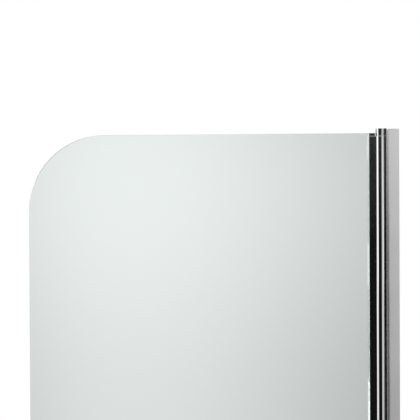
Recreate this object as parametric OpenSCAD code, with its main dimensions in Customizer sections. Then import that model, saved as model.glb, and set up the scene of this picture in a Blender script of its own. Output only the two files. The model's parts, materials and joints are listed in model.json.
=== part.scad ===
// Pivoting bath screen: a glass leaf with one round top corner swings on a hinge post,
// and the post slides in a wall channel to take up a wall that is out of true.
// Origin: on the wall, at the height of the bath rim, in the middle of the channel.
// +X runs into the wall, so the screen reaches to -X. -Y is the dry side, +Y the bath side.

/* [Screen] */
// Width from the wall to the free edge of the glass, with the post pushed right in
screen_w = 800; // [600:10:1000]
// Height from the bath rim to the top of the hinge caps
screen_h = 1400; // [1200:10:1600]

/* [Glass] */
// Thickness of the toughened glass
glass_t = 6; // [5:0.5:8]
// Radius of the free top corner
glass_corner_r = 165; // [40:5:300]
// Radius of the free bottom corner
glass_foot_r = 8; // [4:1:20]
// How far the glass stands past each end of the leaf profile
glass_overhang = 6.5; // [5:0.5:12]

/* [Wall channel] */
// Depth of the channel, measured out from the wall
channel_d = 27; // [26:1:40]
// Thickness of the channel, front to back, at the crest of its faces
channel_w = 26; // [25:1:34]
// Side wall of the channel at its thickest
channel_wall = 2.2; // [1.8:0.1:2.6]
// Web of the channel against the wall
channel_web = 2; // [1.6:0.1:3]
// How far the front and rear faces bulge
channel_crown = 0.8; // [0.4:0.1:1]
// Diameter of the wall fixing holes
fixing_hole_d = 5; // [4:0.5:6]
// Distance of the outer wall fixings from the ends of the screen
fixing_inset = 80; // [50:5:150]
// Distance between the two inner wall fixings
fixing_inner_gap = 420; // [200:10:600]
// Thickness of the channel's top cap
wall_cap_t = 2.5; // [2:0.5:4]
// How far the channel's top cap stays below the top of the hinge cap
wall_cap_drop = 0.8; // [0:0.1:2]
// Diameter of the pegs that hold the channel's top cap
cap_peg_d = 2.4; // [2:0.1:2.6]
// Length of the pegs that hold the channel's top cap
cap_peg_l = 10; // [6:1:16]

/* [Clamps] */
// How far the post slides out of the channel
adjust_travel = 12; // [6:1:13]
// Diameter of the clamp screws
clamp_screw_d = 4; // [3:0.5:4]
// Diameter of the clamp screw heads
clamp_head_d = 7.2; // [6:0.2:8]
// Height of the clamp screw heads
clamp_head_h = 2; // [1.6:0.2:2.4]
// Hex socket of the clamp screws, across its flats
clamp_socket = 2.5; // [2:0.5:3]
// Distance of the end clamps from the ends of the screen
clamp_inset = 60; // [45:5:70]
// Width of a clamp's nut plate, along the screen
nut_w = 7; // [6:0.5:7.5]
// Height of a clamp's nut plate
nut_h = 14; // [10:1:20]
// Thickness of a clamp's nut plate
nut_t = 2.5; // [2:0.1:2.8]
// Diameter of a clamp screw's cover
cover_d = 11; // [10.5:0.5:12]
// How far a clamp screw's cover stands proud of the channel
cover_h = 2.9; // [2.8:0.1:4]

/* [Hinge post] */
// Thickness of the post's tongue legs
tongue_wall = 1.6; // [1.3:0.1:2]
// Thickness of the web that closes the tongue
tongue_web = 2.3; // [1.8:0.1:3]
// Thickness of metal behind the cup, at its thinnest
cup_web = 1.2; // [1:0.1:2]
// Diameter of the sealing cords in the cup
seal_d = 2; // [1.6:0.1:2.4]
// Angle of the sealing cords from the line to the wall
seal_angle = 36; // [30:1:38]
// Height of a hinge cap
hinge_cap_h = 15.8; // [13:0.1:20]
// How far a hinge cap's round head steps in from the tube
cap_step = 0.6; // [0:0.1:1.2]
// How far a hinge cap's foot reaches into the channel
cap_foot_d = 16; // [12:1:18]
// Core diameter of the screws that hold the hinge caps
cap_screw_d = 2.5; // [2:0.1:2.6]
// Diameter of those screws' heads
cap_screw_head_d = 5.6; // [5:0.1:5.8]
// Height of those screws' heads
cap_screw_head_h = 2; // [1.6:0.1:2.4]
// Hex socket of those screws, across its flats
cap_screw_socket = 2; // [1.5:0.5:2.5]
// How deep those screws bite into the post
cap_screw_bite = 12; // [8:1:20]

/* [Pivot] */
// Diameter of the tube that swings
tube_d = 21; // [20:0.5:23]
// Wall of the tube
tube_wall = 2; // [1.6:0.1:2.4]
// Diameter of the pivot pins
pin_d = 8; // [6:0.5:9]
// How far a pivot pin reaches past its hinge cap
pin_reach = 19; // [14:1:28]
// Metal left over a pivot pin's end in its hinge cap
pin_cover = 3; // [2:0.5:4]
// Length of a bush inside the tube
bush_l = 22; // [16:1:32]
// Thickness of a bush's flange
bush_flange_t = 0.6; // [0.5:0.1:1.6]
// Height of the slot that a thrust washer fills
washer_slot = 0.6; // [0.5:0.1:1.5]
// Diameter of the thrust washers
washer_d = 16; // [14:0.5:17]

/* [Glass grip] */
// How far the lips of the leaf profile reach over the glass
lip_grip = 12; // [9:1:20]
// Thickness of those lips
lip_wall = 1.6; // [1.2:0.1:2]
// Room for the gasket on each side of the glass
gasket_t = 1.4; // [1.2:0.1:1.8]
// Width of the gasket's nose, outside the lips
nose_w = 4; // [2:0.1:5]
// Thickness of that nose beside the lips
nose_root = 0.5; // [0.4:0.1:1.2]
// How far the front gasket's nose flares out at its free edge
nose_flare = 3.1; // [1:0.1:3.4]
// Metal between the tube and the floor of the glass slot
slot_floor_t = 0.5; // [0.3:0.1:1.5]
// How far the peg of a glass channel cap reaches into the slot
end_cap_peg_l = 12; // [8:1:20]
// Thickness of the setting blocks behind the glass
block_t = 1.5; // [1.2:0.1:3]
// Length of a setting block
block_l = 60; // [40:5:100]
// Distance of the end setting blocks from the ends of the screen
block_inset = 120; // [90:5:200]

/* [Bottom seal] */
// How far the seal reaches up the glass
seal_grip = 12; // [8:1:20]
// Wall of the seal
seal_wall = 1.1; // [0.8:0.1:1.4]
// Thickness of the seal's base under the glass
seal_base = 1.5; // [1:0.1:2]
// Gap between the seal's fins and the bath rim
seal_rim_gap = 1; // [0.5:0.1:2]
// How far the foot of each fin stands out
fin_splay = 3; // [1:0.5:3.5]

/* [Hidden] */
$fn = 64;
over = 1; // how far a cutter runs past what it cuts

// Clearances
part_gap = 0.3; // between pieces that slide or swing past each other
fit_gap = 0.05; // between a piece and the seat that holds it
swing_gap = 1; // between the swung lips and the post's horns
push_gap = 1; // between the tongue and the channel's web, pushed right in
lid_gap = 1; // between a hinge cap's foot and the channel's top cap or the rim

// Wall channel
channel_h = screen_h - wall_cap_drop - wall_cap_t;
channel_in = channel_w - 2 * channel_wall;
seat_y = channel_w / 2 - channel_crown;
port_wall = 0.7; // metal around a peg's port
port_sink = 0.5; // how far a port's ring sinks into the wall that carries it
peg_port_d = cap_peg_d + 2 * fit_gap;
peg_x = -(channel_web + peg_port_d / 2 + port_wall - port_sink);
peg_y = channel_in / 2 - tongue_wall - peg_port_d / 2 - port_wall - push_gap;
fixing_z = [
    fixing_inset, screen_h / 2 - fixing_inner_gap / 2,
    screen_h / 2 + fixing_inner_gap / 2, screen_h - fixing_inset
];

// Hinge post
shoulder_x = -(channel_d + part_gap);
tongue_w = channel_in - 2 * part_gap;
tongue_in = tongue_w - 2 * tongue_wall;
tongue_end_x = -(channel_web + push_gap);
tongue_floor_x = shoulder_x + tongue_web;
lip_half = glass_t / 2 + gasket_t + lip_wall;
cup_r = tube_d / 2 + 0.5;
pivot_x = shoulder_x - cup_web - cup_r;
horn_x = pivot_x + lip_half + swing_gap;
flange_w = channel_w - 2 * channel_crown;
seal_orbit = tube_d / 2 + part_gap + seal_d / 2;
cap_port_d = cap_screw_d + 2 * fit_gap;
cap_port_r = cap_port_d / 2 + port_wall;
cap_port_x = tongue_floor_x + cap_port_r - port_sink;
cap_port_y = cap_screw_head_d / 2 + port_sink;
foot_z = lid_gap + wall_cap_t + wall_cap_drop;
socket_share = 0.6; // depth of a hex socket, as a share of its head

// Clamps
clamp_x = tongue_floor_x + part_gap + nut_w / 2;
clamp_z = [clamp_inset, screen_h / 2, screen_h - clamp_inset];
slot_r = clamp_screw_d / 2 + part_gap;
nut_y = tongue_in / 2 - part_gap - nut_t;

// Leaf
leaf_z0 = hinge_cap_h + washer_slot;
leaf_h = screen_h - 2 * leaf_z0;
bush_flange_d = tube_d - 1.1 * tube_wall;
slot_floor_x = pivot_x - tube_d / 2 - slot_floor_t;
glass_x = slot_floor_x - block_t;
lips_x = glass_x - lip_grip;
slot_half = glass_t / 2 + gasket_t;
glass_z0 = leaf_z0 - glass_overhang;
glass_h = screen_h - 2 * glass_z0;
glass_w = screen_w + glass_x;
block_z = [block_inset, screen_h / 2, screen_h - block_inset];
end_cap_x = slot_floor_x - part_gap;
nose_x = lips_x - fit_gap;
nose_end_x = nose_x - nose_w;

// Turns a shape over, so that its bottom end becomes the top end of the screen
module at_top() {
    translate([0, 0, screen_h]) mirror([0, 0, 1]) children();
}

// A rectangle reaching d out from the wall, whose faces are arcs that bulge by crown
module crowned_outline(d, w, crown) {
    r = (d * d / 4 + crown * crown) / (2 * crown);
    intersection() {
        translate([-d, -w / 2]) square([d, w]);
        translate([-d / 2, r - w / 2]) circle(r, $fn = 720);
        translate([-d / 2, w / 2 - r]) circle(r, $fn = 720);
    }
}

// A cylinder of diameter d that runs from y0 to y1
module rod_y(d, y0, y1) {
    translate([0, y0, 0]) rotate([-90, 0, 0]) cylinder(h = y1 - y0, d = d);
}

module wall_channel() {
    color("silver") difference() {
        linear_extrude(channel_h) difference() {
            union() {
                difference() {
                    crowned_outline(channel_d, channel_w, channel_crown);
                    translate([-channel_d - over, -channel_in / 2])
                        square([channel_d + over - channel_web, channel_in]);
                }
                for (s = [-1, 1]) translate([peg_x, s * peg_y]) circle(d = peg_port_d + 2 * port_wall);
            }
            for (s = [-1, 1]) translate([peg_x, s * peg_y]) circle(d = peg_port_d);
        }
        for (z = fixing_z) translate([-channel_web - over, 0, z])
            rotate([0, 90, 0]) cylinder(h = channel_web + 2 * over, d = fixing_hole_d);
        for (z = clamp_z) translate([clamp_x, 0, z]) {
            rod_y(clamp_screw_d + 2 * fit_gap, channel_in / 2 - over, channel_w);
            rod_y(clamp_head_d + 2 * part_gap, seat_y, channel_w);
        }
    }
}

module wall_channel_cap() {
    color("silver") {
        translate([0, 0, channel_h]) linear_extrude(wall_cap_t)
            crowned_outline(channel_d, channel_w, channel_crown);
        for (s = [-1, 1]) translate([peg_x, s * peg_y, channel_h - cap_peg_l])
            cylinder(h = cap_peg_l + wall_cap_t / 2, d = cap_peg_d);
    }
}

// A socket screw with its head's outer face at the bottom, and its shank running up to z = l
module socket_screw(d, l, head_d, head_h, socket) {
    difference() {
        union() {
            cylinder(h = head_h, d = head_d);
            cylinder(h = l, d = d);
        }
        translate([0, 0, -over]) cylinder(h = over + socket_share * head_h, d = socket / cos(30), $fn = 6);
    }
}

module clamp_screws() {
    head_y = seat_y + clamp_head_h;
    color("gainsboro") for (z = clamp_z) translate([clamp_x, head_y, z]) rotate([90, 0, 0])
        socket_screw(clamp_screw_d, head_y - nut_y, clamp_head_d, clamp_head_h, clamp_socket);
}

module clamp_nut_plates() {
    color("gainsboro") for (z = clamp_z) translate([clamp_x, nut_y, z]) difference() {
        translate([-nut_w / 2, 0, -nut_h / 2]) cube([nut_w, nut_t, nut_h]);
        rod_y(clamp_screw_d + 2 * fit_gap, -over, nut_t + over);
    }
}

module clamp_screw_covers() {
    color("silver") for (z = clamp_z) translate([clamp_x, 0, z]) difference() {
        rod_y(cover_d, channel_w / 2, channel_w / 2 + cover_h);
        rod_y(clamp_head_d + 2 * fit_gap, 0, seat_y + clamp_head_h + fit_gap);
    }
}

module post_profile() {
    color("silver") translate([0, 0, hinge_cap_h]) difference() {
        linear_extrude(screen_h - 2 * hinge_cap_h) difference() {
            union() {
                difference() {
                    translate([shoulder_x, -tongue_w / 2]) square([tongue_end_x - shoulder_x, tongue_w]);
                    translate([tongue_floor_x, -tongue_in / 2])
                        square([tongue_end_x - tongue_floor_x + over, tongue_in]);
                }
                for (s = [-1, 1]) translate([cap_port_x, s * cap_port_y]) circle(cap_port_r);
                translate([horn_x, -flange_w / 2]) square([shoulder_x - horn_x, flange_w]);
            }
            for (s = [-1, 1]) translate([cap_port_x, s * cap_port_y]) circle(d = cap_port_d);
            translate([pivot_x, 0]) circle(cup_r);
            for (s = [-1, 1]) at_seal(s) circle(d = seal_d + 2 * fit_gap);
        }
        for (z = clamp_z) translate([clamp_x, 0, z - hinge_cap_h]) {
            for (x = [0, adjust_travel]) translate([x, 0, 0])
                rod_y(2 * slot_r, tongue_in / 2 - over, channel_w);
            translate([0, tongue_in / 2 - over, -slot_r]) cube([adjust_travel, channel_w, 2 * slot_r]);
        }
    }
}

// Places a sealing cord in the cup, on the front (-1) or the rear (1)
module at_seal(side) {
    translate([pivot_x, 0]) rotate(side * seal_angle) translate([seal_orbit, 0]) children();
}

module post_seal(side) {
    color("dimgray") translate([0, 0, hinge_cap_h]) linear_extrude(screen_h - 2 * hinge_cap_h)
        at_seal(side) circle(d = seal_d);
}

module hinge_cap() {
    color("silver") difference() {
        union() {
            linear_extrude(hinge_cap_h) {
                translate([pivot_x, 0]) circle(d = tube_d - 2 * cap_step);
                translate([horn_x, -flange_w / 2]) square([shoulder_x - horn_x, flange_w]);
                translate([pivot_x, -lip_half]) square([shoulder_x - pivot_x, 2 * lip_half]);
            }
            translate([shoulder_x - over, -tongue_w / 2, foot_z])
                cube([cap_foot_d + over, tongue_w, hinge_cap_h - foot_z]);
        }
        translate([pivot_x, 0, pin_cover]) cylinder(h = hinge_cap_h, d = pin_d + 2 * fit_gap);
        for (s = [-1, 1]) translate([cap_port_x, s * cap_port_y, 0]) {
            cylinder(h = hinge_cap_h + over, d = cap_screw_d + 2 * part_gap);
            cylinder(h = foot_z + cap_screw_head_h + fit_gap, d = cap_screw_head_d + 2 * fit_gap);
        }
    }
}

module hinge_cap_screws() {
    screw_l = hinge_cap_h - foot_z + cap_screw_bite;
    color("gainsboro") for (s = [-1, 1]) translate([cap_port_x, s * cap_port_y, foot_z])
        socket_screw(cap_screw_d, screw_l, cap_screw_head_d, cap_screw_head_h, cap_screw_socket);
}

module pivot_pin() {
    color("gainsboro") translate([pivot_x, 0, pin_cover])
        cylinder(h = hinge_cap_h - pin_cover + pin_reach, d = pin_d);
}

module thrust_washer() {
    color("dimgray") translate([pivot_x, 0, hinge_cap_h + fit_gap]) difference() {
        cylinder(h = washer_slot - 2 * fit_gap, d = washer_d);
        translate([0, 0, -over]) cylinder(h = washer_slot + 2 * over, d = pin_d + 2 * fit_gap);
    }
}

module thrust_washers() {
    thrust_washer();
    at_top() thrust_washer();
}

module leaf_profile() {
    color("silver") difference() {
        translate([0, 0, leaf_z0]) linear_extrude(leaf_h) difference() {
            union() {
                translate([pivot_x, 0]) circle(d = tube_d);
                translate([lips_x, -lip_half]) square([pivot_x - lips_x, 2 * lip_half]);
            }
            translate([pivot_x, 0]) circle(d = tube_d - 2 * tube_wall);
            translate([lips_x - over, -slot_half]) square([slot_floor_x - lips_x + over, 2 * slot_half]);
        }
        flange_seat();
        at_top() flange_seat();
    }
}

// The step in the tube's end that a bush's flange sits in
module flange_seat() {
    translate([pivot_x, 0, leaf_z0 - over])
        cylinder(h = over + bush_flange_t + fit_gap, d = bush_flange_d + 2 * fit_gap);
}

module pivot_bush() {
    color("dimgray") translate([pivot_x, 0, leaf_z0]) difference() {
        union() {
            cylinder(h = bush_flange_t, d = bush_flange_d);
            cylinder(h = bush_flange_t + bush_l, d = tube_d - 2 * tube_wall - 2 * fit_gap);
        }
        translate([0, 0, -over]) cylinder(h = bush_flange_t + bush_l + 2 * over, d = pin_d + 2 * fit_gap);
    }
}

module glass_panel() {
    color("lightcyan", 0.5) translate([glass_x, glass_t / 2, glass_z0]) rotate([90, 0, 0])
        linear_extrude(glass_t) difference() {
            translate([-glass_w, 0]) square([glass_w, glass_h]);
            difference() {
                translate([-glass_w - over, glass_h - glass_corner_r])
                    square([glass_corner_r + over, glass_corner_r + over]);
                translate([glass_corner_r - glass_w, glass_h - glass_corner_r]) circle(glass_corner_r);
            }
            difference() {
                translate([-glass_w - over, -over]) square([glass_foot_r + over, glass_foot_r + over]);
                translate([glass_foot_r - glass_w, glass_foot_r]) circle(glass_foot_r);
            }
        }
}

// One side's gasket: a strip between glass and lip, with a thin nose outside the lips, flared on the front
module glass_gasket(side) {
    strip_t = gasket_t - 2 * fit_gap;
    tip = side < 0 ? nose_flare : nose_root;
    color("lightgray", 0.7) translate([0, 0, leaf_z0]) linear_extrude(leaf_h)
        on_side(side) translate([0, glass_t / 2 + fit_gap]) polygon([
            [nose_end_x, 0], [glass_x, 0], [glass_x, strip_t],
            [nose_x, strip_t], [nose_x, nose_root], [nose_end_x, tip]
        ]);
}

// Keeps a plan shape on the rear (1) or mirrors it to the front (-1)
module on_side(side) {
    mirror([0, side < 0 ? 1 : 0]) children();
}

module glass_setting_blocks() {
    color("dimgray") for (z = block_z)
        translate([glass_x + fit_gap, -slot_half + fit_gap, z - block_l / 2])
            cube([block_t - 2 * fit_gap, 2 * (slot_half - fit_gap), block_l]);
}

module glass_channel_cap() {
    peg_w = 2 * (slot_half - part_gap);
    color("silver") {
        translate([0, 0, glass_z0]) linear_extrude(glass_overhang) difference() {
            translate([lips_x, -lip_half]) square([end_cap_x - lips_x, 2 * lip_half]);
            translate([lips_x - over, -glass_t / 2 - fit_gap])
                square([glass_x + fit_gap - lips_x + over, glass_t + 2 * fit_gap]);
        }
        translate([glass_x + 2 * fit_gap, -peg_w / 2, glass_z0 + glass_overhang / 2])
            cube([end_cap_x - glass_x - 2 * fit_gap, peg_w, glass_overhang / 2 + end_cap_peg_l]);
    }
}

module bottom_seal() {
    seal_x0 = nose_end_x - part_gap;
    seal_x1 = glass_foot_r - screen_w;
    half = glass_t / 2 + fit_gap;
    base_z = glass_z0 - fit_gap - seal_base;
    color("lightgray", 0.7) translate([seal_x0, 0, 0]) rotate([0, -90, 0])
        linear_extrude(seal_x0 - seal_x1) {
            translate([base_z, -half - seal_wall]) square([seal_base, 2 * (half + seal_wall)]);
            for (s = [-1, 1]) on_side(s) {
                translate([base_z, half]) square([seal_base + seal_grip, seal_wall]);
                polygon([
                    [base_z + seal_base / 2, half], [base_z + seal_base / 2, half + seal_wall],
                    [seal_rim_gap, half + seal_wall + fin_splay], [seal_rim_gap, half + fin_splay]
                ]);
            }
        }
}

wall_channel();
wall_channel_cap();
clamp_screws();
clamp_nut_plates();
clamp_screw_covers();
post_profile();
post_seal(-1);  // post_seal_front
post_seal(1);  // post_seal_rear
at_top() hinge_cap();  // hinge_cap_top
hinge_cap();  // hinge_cap_bottom
at_top() hinge_cap_screws();  // hinge_cap_screws_top
hinge_cap_screws();  // hinge_cap_screws_bottom
at_top() pivot_pin();  // pivot_pin_top
pivot_pin();  // pivot_pin_bottom
thrust_washers();
leaf_profile();
at_top() pivot_bush();  // pivot_bush_top
pivot_bush();  // pivot_bush_bottom
glass_panel();
glass_gasket(-1);  // glass_gasket_front
glass_gasket(1);  // glass_gasket_rear
glass_setting_blocks();
at_top() glass_channel_cap();  // glass_channel_cap_top
glass_channel_cap();  // glass_channel_cap_bottom
bottom_seal();
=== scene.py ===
"""Looks of a pivoting bath screen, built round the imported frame.

A glass leaf turns on a bright hinge tube, in a post that slides in a wall channel. All sizes are in
millimetres, in the frame's own axes: X runs into the wall, -Y is the dry side, and Z is up from the bath rim.
"""
import json
import math

import bmesh
import bpy
import numpy as np
from mathutils.geometry import delaunay_2d_cdt
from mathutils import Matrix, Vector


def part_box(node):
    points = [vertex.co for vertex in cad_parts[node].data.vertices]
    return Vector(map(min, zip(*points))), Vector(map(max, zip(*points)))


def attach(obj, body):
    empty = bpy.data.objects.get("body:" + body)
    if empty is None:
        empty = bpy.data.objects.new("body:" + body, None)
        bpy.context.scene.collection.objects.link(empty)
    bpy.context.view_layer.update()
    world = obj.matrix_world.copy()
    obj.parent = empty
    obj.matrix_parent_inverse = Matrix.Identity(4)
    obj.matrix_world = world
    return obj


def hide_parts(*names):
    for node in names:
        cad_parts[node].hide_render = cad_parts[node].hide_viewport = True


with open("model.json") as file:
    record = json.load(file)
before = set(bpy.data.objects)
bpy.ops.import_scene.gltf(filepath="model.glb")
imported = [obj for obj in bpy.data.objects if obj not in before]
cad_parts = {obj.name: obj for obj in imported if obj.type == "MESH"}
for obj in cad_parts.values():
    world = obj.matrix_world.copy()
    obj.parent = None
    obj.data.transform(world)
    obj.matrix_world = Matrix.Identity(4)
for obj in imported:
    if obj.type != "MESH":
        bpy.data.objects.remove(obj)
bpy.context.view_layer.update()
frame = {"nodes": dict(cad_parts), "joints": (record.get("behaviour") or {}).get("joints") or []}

MM = 0.001


def in_mm(metres):
    """A length in millimetres, to a hundredth."""
    return round(float(metres) / MM, 2)


def span(node, axis):
    """Where a CAD node starts and ends along an axis."""
    k = "XYZ".index(axis)
    return tuple(in_mm(corner[k]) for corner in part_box(node))


# Joints of the frame, by name
JOINT = {joint["name"]: joint for joint in frame["joints"]}

# Clearances
FIT = 0.05  # between a piece and the seat that holds it
GAP = 0.3  # between pieces that slide or swing past each other
PUSH_GAP = 1.0  # between the post's tongue and the channel's web, pushed right in

# Screen
SCREEN_W, SCREEN_H = -span("glass_panel", "X")[0], span("hinge_cap_top", "Z")[1]
MIDDLE_Z = SCREEN_H / 2

# Wall channel
CHANNEL_D, CHANNEL_H = -span("wall_channel", "X")[0], span("wall_channel", "Z")[1]
CHANNEL_W, CHANNEL_WALL, CHANNEL_WEB = 26.0, 2.2, 2.0
CHANNEL_IN = CHANNEL_W - 2 * CHANNEL_WALL
CROWN, BEVEL = 0.8, 5.7
SEAT_Y = CHANNEL_W / 2 - CROWN
WALL_CAP_TOP = span("wall_channel_cap", "Z")[1]
FIXING_D, FIXING_INSET, FIXING_REACH = 5.0, 80.0, 210.0
FIXING_Z = (FIXING_INSET, MIDDLE_Z - FIXING_REACH, MIDDLE_Z + FIXING_REACH, SCREEN_H - FIXING_INSET)

# Pivot and the round pieces about it, each of which reaches its full radius on its wall side
PIVOT_X = in_mm(JOINT["leaf_swing"]["pos_m"][0])
PIN_R, PIN_Z = span("pivot_pin_bottom", "X")[1] - PIVOT_X, span("pivot_pin_bottom", "Z")
TUBE_R, TUBE_WALL = span("leaf_profile", "X")[1] - PIVOT_X, 2.0
CUP_GAP, HEAD_STEP = 0.5, 0.6  # how much wider than the tube the cup is, and how much narrower a cap's head
CUP_R, BORE_R, HEAD_R = TUBE_R + CUP_GAP, TUBE_R - TUBE_WALL, TUBE_R - HEAD_STEP
HINGE_CAP_H, LEAF_Z = span("hinge_cap_bottom", "Z")[1], span("leaf_profile", "Z")[0]
WASHER_R, WASHER_Z = span("thrust_washers", "X")[1] - PIVOT_X, (HINGE_CAP_H + FIT, LEAF_Z - FIT)
BUSH_R, BUSH_FLANGE_R, BUSH_FLANGE_T = BORE_R - FIT, span("pivot_bush_bottom", "X")[1] - PIVOT_X, 0.6
BUSH_TOP = span("pivot_bush_bottom", "Z")[1]

# Post: its tongue in the channel, its flange, and the cup that the tube turns in
TONGUE_WALL, TONGUE_WEB = 1.6, 2.3
TONGUE_Y = CHANNEL_IN / 2 - GAP
TONGUE_IN = TONGUE_Y - TONGUE_WALL
TONGUE_END = -(CHANNEL_WEB + PUSH_GAP)
SHOULDER_X, FLANGE_Y = -(CHANNEL_D + GAP), SEAT_Y
TONGUE_FLOOR = SHOULDER_X + TONGUE_WEB
HORN_X = span("post_profile", "X")[0]
CORD_R, CORD_ANGLE = 1.0, 36.0
CORD_ORBIT = TUBE_R + GAP + CORD_R

# Hinge caps and their screws
FOOT_Z, FOOT_END = 4.3, span("hinge_cap_bottom", "X")[1]
CAP_SCREW_D, CAP_SCREW_HEAD_D, CAP_SCREW_HEAD_H = 2.5, 5.6, 2.0
CAP_SCREW_SOCKET, CAP_SCREW_PITCH, CAP_SCREW_BITE = 2.0, 0.5, 12.0

# Ports: each takes a peg or a screw, in a ring of metal that sinks a little into the wall that carries it
PORT_WALL, PORT_SINK = 0.7, 0.5
PORT_BORE = CAP_SCREW_D / 2 + FIT
PORT_R = PORT_BORE + PORT_WALL
PORT_X, PORT_Y = TONGUE_FLOOR + PORT_R - PORT_SINK, CAP_SCREW_HEAD_D / 2 + PORT_SINK
PEG_D, PEG_L = 2.4, 10.0
PEG_PORT_R = PEG_D / 2 + FIT
PEG_X = -(CHANNEL_WEB + PEG_PORT_R + PORT_WALL - PORT_SINK)
PEG_Y = CHANNEL_IN / 2 - TONGUE_WALL - PEG_PORT_R - PORT_WALL - PUSH_GAP

# Clamps, in slots as long as the post's travel
TRAVEL = in_mm(JOINT["wall_adjust"]["range_m"][1])
CLAMP_D, CLAMP_HEAD_D, CLAMP_HEAD_H, CLAMP_SOCKET, CLAMP_PITCH = 4.0, 7.2, 2.0, 2.5, 0.7
NUT_W, NUT_H, NUT_T = 7.0, 14.0, 2.5
COVER_D, COVER_H = 11.0, 2.9
CLAMP_INSET = 60.0
CLAMP_X, CLAMP_Z = TONGUE_FLOOR + GAP + NUT_W / 2, (CLAMP_INSET, MIDDLE_Z, SCREEN_H - CLAMP_INSET)
NUT_Y = TONGUE_IN - GAP - NUT_T

# Glass and what grips it
GLASS_X, GLASS_Y = span("glass_panel", "X")[1], span("glass_panel", "Y")[1]
GLASS_Z = span("glass_panel", "Z")[0]
GLASS_CORNER_R, GLASS_FOOT_R, GLASS_EDGE_R = 165.0, 8.0, 2.7
GASKET_ROOM, LIP_WALL, SLOT_FLOOR = 1.4, 1.6, 0.5
LIPS_X, LIP_Y = span("leaf_profile", "X")[0], GLASS_Y + GASKET_ROOM + LIP_WALL
SLOT_X, SLOT_Y = PIVOT_X - TUBE_R - SLOT_FLOOR, GLASS_Y + GASKET_ROOM
GASKET_Y = (GLASS_Y + FIT, SLOT_Y - FIT)
NOSE_ROOT = 0.5
NOSE_X = (span("glass_gasket_front", "X")[0], LIPS_X - FIT)
NOSE_Y = (GASKET_Y[0] + NOSE_ROOT, -span("glass_gasket_front", "Y")[0])
BLOCK_L, BLOCK_INSET = 60.0, 120.0
BLOCK_X, BLOCK_Z = (GLASS_X + FIT, SLOT_X - FIT), (BLOCK_INSET, MIDDLE_Z, SCREEN_H - BLOCK_INSET)
END_CAP_X, END_PEG_L = SLOT_X - GAP, 12.0

# Bottom seal
SEAL_X, SEAL_Z = span("bottom_seal", "X"), span("bottom_seal", "Z")
SEAL_WALL, SEAL_BASE, FIN_SPLAY = 1.1, 1.5, 3.0

# Points round a turned piece, and round a drilled hole or a screw
TURN, SMALL_TURN, DRILL_TURN = 64, 24, 48

# The side of the glass's middle plane that a piece is on
SIDE = {"front": -1, "rear": 1}

# How a shape's own three directions run in the frame: the two that its outline lies in, then the third
ALONG = {
    "z": ((1, 0, 0), (0, 1, 0), (0, 0, 1)),
    "-z": ((1, 0, 0), (0, -1, 0), (0, 0, -1)),
    "y": ((0, 0, 1), (1, 0, 0), (0, 1, 0)),
    "-y": ((1, 0, 0), (0, 0, 1), (0, -1, 0)),
    "x": ((0, 1, 0), (0, 0, 1), (1, 0, 0)),
}


def arc(x, y, r, start, end, count, ends=0.0):
    """Rows (x, y, rounding) round a circle from start to end degrees. Only the end rows are rounded."""
    a = np.radians(np.linspace(start, end, count))
    rows = np.column_stack([x + r * np.cos(a), y + r * np.sin(a), np.zeros(count)])
    rows[[0, -1], 2] = ends
    return rows


def outline(*parts, steps=5, guard=0.3):
    """A closed line through rows (x, y, r), with each corner rounded to its r.

    The arc leaves a side r / tan(h) from the corner, where h is half the corner's angle, and turns about the
    point r / sin(h) along the bisector. On a long side, one more point at the distance guard from the arc
    keeps the side flat.
    """
    rows = np.vstack([np.atleast_2d(np.asarray(p, float)) for p in parts])
    p, r = rows[:, :2], rows[:, 2:]
    sides = [np.roll(p, 1, 0) - p, np.roll(p, -1, 0) - p]
    lengths = [np.linalg.norm(s, axis=1, keepdims=True) for s in sides]
    back, ahead = (s / n for s, n in zip(sides, lengths))
    half = np.arccos(np.clip((back * ahead).sum(1, keepdims=True), -1, 1)) / 2
    leave = r / np.tan(half)
    middle = back + ahead
    middle = middle / np.maximum(np.linalg.norm(middle, axis=1, keepdims=True), 1e-9)
    centre = p + middle * r / np.sin(half)
    turn = np.maximum(math.pi - 2 * half, 1e-6)[:, :, None]
    s = np.linspace(0, 1, steps + 1)[None, :, None]
    first = (p + back * leave - centre)[:, None]
    last = (p + ahead * leave - centre)[:, None]
    curve = centre[:, None] + (np.sin((1 - s) * turn) * first + np.sin(s * turn) * last) / np.sin(turn)
    guards = [np.where(n > 2 * leave + 8 * guard, leave + guard, leave) for n in lengths]
    before, after = (p + back * guards[0])[:, None], (p + ahead * guards[1])[:, None]
    line = np.concatenate([before, curve, after], 1).reshape(-1, 2)
    return line[np.linalg.norm(line - np.roll(line, 1, 0), axis=1) > 1e-5]


def ring_line(x, y, r, count=SMALL_TURN):
    """A full circle as a closed line."""
    return arc(x, y, r, 0, 360 - 360 / count, count)[:, :2]


def into_metal(line):
    """How each point moves as both its sides move one unit to their left, where the metal is.

    It is the sum of the two sides' left normals, over one plus their product.
    """
    d = np.roll(line, -1, 0) - line
    d = d / np.linalg.norm(d, axis=1, keepdims=True)
    left = np.column_stack([-d[:, 1], d[:, 0]])
    before = np.roll(left, 1, 0)
    return (left + before) / (1 + (left * before).sum(1, keepdims=True))


def signed_area(line):
    """Twice the area inside a closed line, positive if it runs counter-clockwise."""
    after = np.roll(line, -1, 0)
    return float((line[:, 0] * after[:, 1] - line[:, 1] * after[:, 0]).sum())


def placed(points, along, at):
    """Points from a shape's own directions into the frame's, moved to at."""
    return points @ np.array(ALONG[along], float) + np.array(at, float)


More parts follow.
